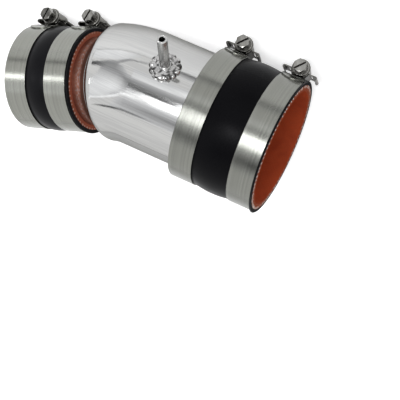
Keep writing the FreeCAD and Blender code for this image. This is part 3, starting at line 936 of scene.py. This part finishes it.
CAMERA_SHADE = Card("camera_shade", 1.30, 1.2, (
    (0.20, 44.0, 57.0, 0.65, 0.3),
    (-0.46, 45.0, 58.5, 0.65, 0.25),
    (-0.475, 46.0, 65.0, 0.8, 0.1),
    (-0.505, 46.5, 66.0, 0.85, 0.03),
    (-0.545, 47.5, 67.0, 0.8, 0.02),
    (-0.585, 46.0, 60.0, 0.85, 0.2),
    (-0.645, 44.0, 57.0, 0.85, 0.4),
    (-0.73, 38.0, 51.0, 0.9, 0.48),
    (-0.84, 31.0, 47.0, 0.8, 0.5),
    (-1.0, 30.0, 43.0, 0.5, 0.46),
    (-1.25, 31.0, 43.0, 0.42, 0.5),
    (-1.75, 32.0, 41.0, 0.2, 0.1),
    (-2.60, 31.0, 41.0, 0.2, 0.1),
))
LEFT_SHADE = Card("left_shade", 1.31, 1.0, (
    (-0.555, 67.0, 70.0, 0.05, 0.5),
    (-0.585, 59.0, 79.0, 0.15, 0.8),
    (-0.645, 56.0, 78.0, 0.4, 1.05),
    (-0.73, 50.0, 76.0, 0.5, 1.35),
    (-0.84, 46.0, 76.0, 0.5, 1.45),
    (-1.0, 42.0, 76.0, 0.46, 1.4),
    (-1.41, 42.0, 77.0, 0.6, 1.25),
))
LEFT_GLOW = Card("left_glow", 1.315, 1.0, (
    (-0.645, 78.0, 82.0, 0.85, 0.8),
    (-0.73, 76.0, 91.0, 1.35, 0.8),
    (-0.84, 76.0, 104.0, 1.45, 1.1),
    (-1.0, 76.0, 112.0, 1.4, 1.15),
    (-1.41, 77.0, 128.0, 1.25, 1.15),
))
LEFT_LINE = Card("left_line", 1.29, 3.0, (
    (-0.555, 67.5, 71.0, 2.2, 1.6),
    (-0.58, 78.5, 84.0, 2.6, 1.5),
    (-0.65, 82.5, 87.5, 2.3, 1.4),
    (-0.72, 91.0, 96.5, 2.1, 1.3),
    (-0.84, 102.0, 107.5, 1.9, 1.3),
    (-1.40, 127.0, 133.5, 1.7, 1.3),
))
LEFT_LIGHT = Card("left_light", 1.28, 0.8, (
    (-1.425, 76.5, 86.0, 1.0, 1.2),
    (-1.44, 76.0, 87.0, 9.0, 9.0),
    (-1.55, 79.0, 91.0, 9.0, 9.0),
    (-1.80, 84.0, 95.0, 9.0, 7.0),
))
WINDOW = Card("window", 1.27, 1.2, (
    (0.05, 57.5, 78.0, 6.0, 5.0),
    (-0.462, 58.5, 79.0, 6.0, 5.0),
    (-0.472, 66.0, 80.0, 5.0, 4.0),
    (-0.498, 67.0, 80.5, 4.0, 3.0),
))
WINDOW_PANE = Card("window_pane", 1.27, 2.0, (
    (-0.507, 73.0, 81.0, 3.6, 2.6),
    (-0.515, 67.0, 82.0, 4.5, 2.6),
    (-0.530, 67.0, 83.0, 4.0, 2.0),
    (-0.547, 69.0, 76.0, 3.0, 1.8),
))
FAR_SHADE = Card("far_shade", 1.33, 1.0, (
    (0.20, 80.0, 104.0, 1.1, 0.03),
    (-0.465, 80.0, 104.0, 1.1, 0.03),
    (-0.49, 80.5, 97.0, 1.3, 0.42),
    (-0.56, 80.0, 99.0, 1.3, 0.5),
    (-0.62, 86.0, 101.0, 1.0, 0.75),
    (-0.70, 97.0, 104.0, 1.0, 1.0),
))
FAR_EDGE = Card("far_edge", 1.34, 1.0, (
    (0.20, 103.0, 122.0, 0.02, 1.0),
    (-0.465, 103.0, 122.0, 0.02, 1.0),
    (-0.49, 96.0, 115.0, 0.4, 1.0),
    (-0.56, 98.0, 115.0, 0.48, 1.0),
    (-0.62, 100.0, 116.0, 0.72, 1.0),
    (-0.70, 103.0, 118.0, 1.0, 1.0),
))
FAR_LINE = Card("far_line", 1.28, 1.2, (
    (-0.530, 110.5, 112.5, 0.6, 0.5),
    (-0.565, 111.0, 115.0, 0.25, 0.2),
    (-0.61, 113.8, 118.2, 0.1, 0.08),
    (-0.68, 117.3, 121.7, 0.12, 0.12),
    (-0.75, 120.0, 122.8, 0.5, 0.5),
))
CARDS = (
    LEFT_SKY, HORIZON_LINE, FRONT_LIGHT, CAMERA_SHADE, LEFT_SHADE, LEFT_GLOW, LEFT_LINE, LEFT_LIGHT,
    WINDOW, WINDOW_PANE, FAR_SHADE, FAR_EDGE, FAR_LINE,
)


@dataclass(frozen=True)
class Lamp:
    """One soft lamp.

    Attributes:
        name: the lamp's name.
        place: where it hangs, in metres.
        size: its width and height in metres.
        power: its power in watts.
        mirrored: whether the metal mirrors it.
    """

    name: str
    place: Point
    size: Tuple[float, float]
    power: float
    mirrored: bool = False

    def build(self, target: Point) -> None:
        """Hangs the lamp.

        Args:
            target: the point that it faces.
        """
        data = bpy.data.lights.new(self.name, "AREA")
        data.shape = "RECTANGLE"
        data.size, data.size_y = self.size
        data.energy = self.power
        lamp = bpy.data.objects.new(self.name, data)
        lamp.visible_glossy = self.mirrored
        lamp.location = self.place
        lamp.rotation_euler = (Vector(target) - Vector(self.place)).to_track_quat("-Z", "Y").to_euler()
        bpy.context.scene.collection.objects.link(lamp)


LAMPS = (
    Lamp("key_lamp", place=(0.0, 0.47, 1.10), size=(0.5, 0.15), power=3.0, mirrored=True),
    Lamp("left_fill", place=(-1.1, 0.2, 0.8), size=(0.8, 0.8), power=2.5),
    Lamp("right_fill", place=(0.9, -0.5, 0.9), size=(0.8, 0.8), power=1.2),
)


@dataclass
class Studio:
    """Plain pale floor, soft lamps, panels for the metal to mirror, and the camera.

    Attributes:
        camera_place: where the camera stands, in metres.
        camera_turn: its XYZ Euler angles in degrees.
        lens: its focal length in mm.
        centre: the point that the lamps face.
        floor_size: side of the floor in metres.
        seen_glow: light added to the floor where the camera sees it.
        mirrored_glow: light added where the metal mirrors it.
        sky_light: how strongly the sky lights the part.
        sky_seen: how bright the sky itself looks.
    """

    camera_place: Point = (0.1127553, 0.432991, 0.6607145)
    camera_turn: Tuple[float, float, float] = (-32.32747, 21.42332, 12.60652)
    lens: float = 114.8957
    centre: Point = (-0.09, 0.0, 0.0)
    floor_size: float = 6.0
    seen_glow: float = 0.58
    mirrored_glow: float = 0.2
    sky_light: float = 0.5
    sky_seen: float = 1.0

    def build(self, lowest: float) -> None:
        """Builds the whole studio.

        Args:
            lowest: height of the part's lowest point.
        """
        self._floor(lowest)
        self._sky()
        for lamp in LAMPS:
            lamp.build(self.centre)
        for card in CARDS:
            card.build()
        self._camera()

    def _floor(self, height: float) -> None:
        """Lays the pale floor, white to the camera and in reflections.

        Args:
            height: how high it lies, in metres.
        """
        half = self.floor_size / 2
        corners = [(x * half, y * half, height) for x, y in ((-1, -1), (1, -1), (1, 1), (-1, 1))]
        material, graph = new_material("studio_floor")
        straight = graph.add("LightPath").outputs["Is Camera Ray"]
        matte = graph.add("BsdfDiffuse", {"Color": (0.8, 0.8, 0.8, 1.0)}).outputs[0]
        glow = graph.ramp(straight, RISING, (self.mirrored_glow, self.seen_glow))
        added = graph.add("Emission", {"Color": WHITE, "Strength": glow}).outputs[0]
        both = graph.add("AddShader", {0: matte, 1: added}).outputs[0]
        mix = graph.add("MixShader", {0: graph.seen(), 1: matte, 2: both})
        graph.add("OutputMaterial", {0: mix.outputs[0]})
        new_object("studio_floor", corners, [(0, 1, 2, 3)], material)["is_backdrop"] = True

    def _sky(self) -> None:
        """Sets a soft even sky, white to the camera and in reflections."""
        world = bpy.data.worlds.new("studio")
        bpy.context.scene.world = world
        world.use_nodes = True
        world.node_tree.nodes.clear()
        graph = Graph(world.node_tree)
        light, seen = (graph.add("Background", {"Color": WHITE, "Strength": strength}).outputs[0]
                       for strength in (self.sky_light, self.sky_seen))
        mix = graph.add("MixShader", {0: graph.seen(), 1: light, 2: seen})
        graph.add("OutputWorld", {0: mix.outputs[0]})

    def _camera(self) -> None:
        """Sets up the camera at the photograph's angle."""
        data = bpy.data.cameras.new("camera")
        data.lens = self.lens
        data.sensor_width = 36.0
        data.clip_start = 0.01
        camera = bpy.data.objects.new("camera", data)
        camera.location = self.camera_place
        camera.rotation_euler = [math.radians(a) for a in self.camera_turn]
        bpy.context.scene.collection.objects.link(camera)
        bpy.context.scene.camera = camera


def dress(node: str, material: Material) -> None:
    """Gives a solid its material.

    Args:
        node: the solid's name.
        material: the finish it takes.
    """
    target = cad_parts[node]
    target.data.materials.clear()
    target.data.materials.append(material)
    log.info("dressed %s with %s", node, material.name)


@dataclass
class Pipe:
    """The elbow with its nipple and weld.

    Attributes:
        shoulder_end: where the shoulder runs out into the neck, in mm from where the axes cross.
    """

    shoulder_end: float = 20.33

    def dress(self) -> None:
        """Dresses the pipe, the nipple and the weld."""
        large = axis_frame(Axis.LARGE)
        neck = Neck(axis_frame(Axis.SMALL), foot=self.shoulder_end * MM, lip=-SMALL_HOSE_ENDS[0] * MM)
        dress("aluminium_pipe", PolishedTube().material("polished_pipe", large, neck))
        dress("vacuum_nipple", PolishedTube(roughness=0.2).material("turned_nipple", large))
        dress("nipple_weld", WeldMetal().material("weld"))


@dataclass(frozen=True)
class PlyRow:
    """Cut yarns of the cloth ply, in a row round one cut end of a hose.

    Attributes:
        name: the row's name.
        axis: the axis of the hose.
        end: where the cut end lies, in mm from the axis's origin.
        outward: 1 where the end looks along the axis, -1 where it looks back.
        radius: radius of the row's middle in mm.
        length: length of a yarn's cut in mm.
        pitch: way from yarn to yarn in mm.
        width: width of a yarn's cut in mm.
        proud: how far a yarn stands out of the face, in mm.
        slant: how far its length leans from the radius, in degrees.
        stray: how far off its place a yarn may be, as a share of the pitch.
        uneven: how much the yarns differ in size.
    """

    name: str
    axis: Axis
    end: float
    outward: float
    radius: float
    length: float
    pitch: float = 3.1
    width: float = 1.25
    proud: float = 0.10
    slant: float = 35.0
    stray: float = 0.35
    uneven: float = 0.5

    # Rings along half a yarn's length, each ring's points by width and height, and grain of the drift.
    RINGS = (-0.97, -0.75, -0.35, 0.0, 0.35, 0.75, 0.97)
    SECTION = ((-1.0, -0.6), (-0.75, 0.66), (0.0, 1.0), (0.75, 0.66), (1.0, -0.6))
    DRIFT_STEP = 1.37

    def build(self, material: Material) -> None:
        """Builds the row and dresses it.

        Args:
            material: the yarn's material.
        """
        verts: List[Point] = []
        faces: List[Tuple[int, ...]] = []
        count = round(math.tau * self.radius / self.pitch)
        for k in range(count):
            drift = noise.noise(Vector((k * self.DRIFT_STEP, self.radius, self.end)))
            turn = math.tau * (k + self.stray * drift) / count
            self._yarn(verts, faces, turn, 1.0 + self.uneven * drift)
        row = new_object(self.name, verts, faces, material)
        row.data.polygons.foreach_set("use_smooth", [True] * len(faces))
        row.data.transform(axis_frame(self.axis).matrix())
        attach(row, "root")
        log.info("laid %d yarns as %s", count, self.name)

    def _yarn(self, verts: List[Point], faces: List[Tuple[int, ...]], turn: float, scale: float) -> None:
        """Adds one yarn's cut, a lens that stands a little proud of the face.

        Args:
            verts: the row's points so far.
            faces: the row's faces so far.
            turn: where the yarn sits round the axis, in radians.
            scale: its size against the others.
        """
        first = len(verts)
        lean = math.radians(self.slant)
        for along in self.RINGS:
            swell = math.sqrt(1.0 - along * along)
            for side, rise in self.SECTION:
                out = self.length / 2 * scale * along
                wide = self.width / 2 * scale * side * swell
                step = out * math.sin(lean) + wide * math.cos(lean)
                radius = self.radius + out * math.cos(lean) - wide * math.sin(lean)
                angle = turn + step / self.radius
                x = self.end + self.outward * self.proud * rise * swell
                verts.append((x * MM, radius * math.cos(angle) * MM, radius * math.sin(angle) * MM))
        sides = len(self.SECTION)
        last = first + sides * (len(self.RINGS) - 1)
        for start in range(first, last, sides):
            for side in range(sides):
                a, b = start + side, start + (side + 1) % sides
                faces.append((a, b, b + sides, a + sides))
        faces.append(tuple(range(first, first + sides)))
        faces.append(tuple(range(last, last + sides)))


@dataclass
class Coupler:
    """One hose.

    Attributes:
        node: the hose's solid.
        axis: the axis that it lies on.
        bore: bore radius in mm.
        lip: radius of the lip at its cut end in mm.
        skin_depth: how deep the black skin goes from the lip in mm.
        ends: its cut ends, in mm from the axis's origin, the one at the pipe first.
        rubber: finish of the hose.
        yarn: colour of its cut yarns.
        yarn_length: length of a yarn's cut in mm.
        yarn_inset: how far the yarns lie inside the skin, as a share of their length.
    """

    node: str
    axis: Axis
    bore: float
    lip: float
    skin_depth: float
    ends: Tuple[float, float]
    rubber: LinedRubber
    yarn: Colour = (0.80, 0.75, 0.69)
    yarn_length: float = 2.1
    yarn_inset: float = 0.4

    def dress(self) -> None:
        """Dresses the hose and lays the cut yarns in its ends."""
        seam = self.lip - self.skin_depth
        dress(self.node, self.rubber.material(self.node, axis_frame(self.axis), self.bore, seam))
        yarn = Yarn(self.yarn).material(f"{self.node}_yarn")
        radius = seam - self.yarn_length * self.yarn_inset
        for label, end, other in (("pipe", *self.ends), ("open", *reversed(self.ends))):
            outward = 1.0 if end > other else -1.0
            name = f"{self.node}_{label}_end_ply"
            PlyRow(name, self.axis, end, outward, radius, self.yarn_length).build(yarn)


@dataclass
class Clamp:
    """One worm drive clamp.

    Attributes:
        label: what the names of its four pieces start with.
        axis: the axis that its band goes round.
        painted_brightness: how much lighter or darker its band is painted than the usual strip, as painted
            light and shade.
        band: the usual strip.
        saddle: finish of the saddle.
        housing: finish of the housing.
        screw: finish of the screw.
    """

    label: str
    axis: Axis
    painted_brightness: float
    band: Steel = Steel((0.28, 0.284, 0.258), (0.24, 0.244, 0.222),
                        roughness=0.20, density=7000.0, line_bump=0.12, corner_darkness=0.85)
    saddle: Steel = Steel((0.20, 0.196, 0.182), (0.11, 0.108, 0.10),
                          roughness=0.18, density=3800.0, line_bump=0.25)
    housing: Steel = Steel((0.27, 0.265, 0.245), (0.17, 0.166, 0.154),
                           roughness=0.16, density=2600.0, line_bump=0.2)
    screw: Steel = Steel((0.33, 0.325, 0.305), (0.19, 0.186, 0.174),
                         roughness=0.18, density=3000.0, line_bump=0.3)

    def dress(self) -> None:
        """Dresses the band, saddle, housing and screw."""
        # Painted light and shade: the same strip is made lighter on the small clamps and darker on the
        # large ones.
        strip = replace(self.band, colour=tuple(c * self.painted_brightness for c in self.band.colour),
                        shade=tuple(c * self.painted_brightness for c in self.band.shade))
        finishes = {"band": strip, "saddle": self.saddle, "housing": self.housing, "screw": self.screw}
        for piece, finish in finishes.items():
            node = f"{self.label}_{piece}"
            dress(node, finish.material(node, axis_frame(self.axis)))


PIECES = (
    Pipe(),
    Coupler("small_coupler", Axis.SMALL, bore=28.675, lip=34.475, skin_depth=2.6, ends=SMALL_HOSE_ENDS,
            rubber=LinedRubber(lining=(0.36, 0.095, 0.055), lining_shade=(0.24, 0.06, 0.036),
                               face=(0.30, 0.09, 0.052)),
            yarn=(0.52, 0.34, 0.28), yarn_length=1.3),
    Coupler("large_coupler", Axis.LARGE, bore=38.2, lip=44.6, skin_depth=2.7, ends=LARGE_HOSE_ENDS,
            rubber=LinedRubber(skin=(0.0035, 0.0035, 0.0042), skin_worn=(0.010, 0.010, 0.011), gloss=0.06)),
    # The small clamps' bands are painted lighter and the large clamps' darker, as painted light and shade.
    Clamp("small_outer_clamp", Axis.SMALL, painted_brightness=1.12),
    Clamp("small_inner_clamp", Axis.SMALL, painted_brightness=1.12),
    Clamp("large_inner_clamp", Axis.LARGE, painted_brightness=0.96),
    Clamp("large_outer_clamp", Axis.LARGE, painted_brightness=0.96),
)


def bounds_list() -> List[List[float]]:
    """The whole object's box as plain lists."""
    low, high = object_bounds()
    return [list(low), list(high)]


def main() -> None:
    """Builds the scene in order."""
    logging.basicConfig(level=logging.INFO)
    sizes = {"cad": bounds_list()}
    Finish.effects = SharedEffects()
    for piece in PIECES:
        piece.dress()
        log.info("finished the %s", type(piece).__name__.lower())
    Studio().build(sizes["cad"][0][2])
    bpy.context.scene.view_settings.view_transform = "Standard"
    sizes["visual"] = bounds_list()


if __name__ == "__main__":
    main()
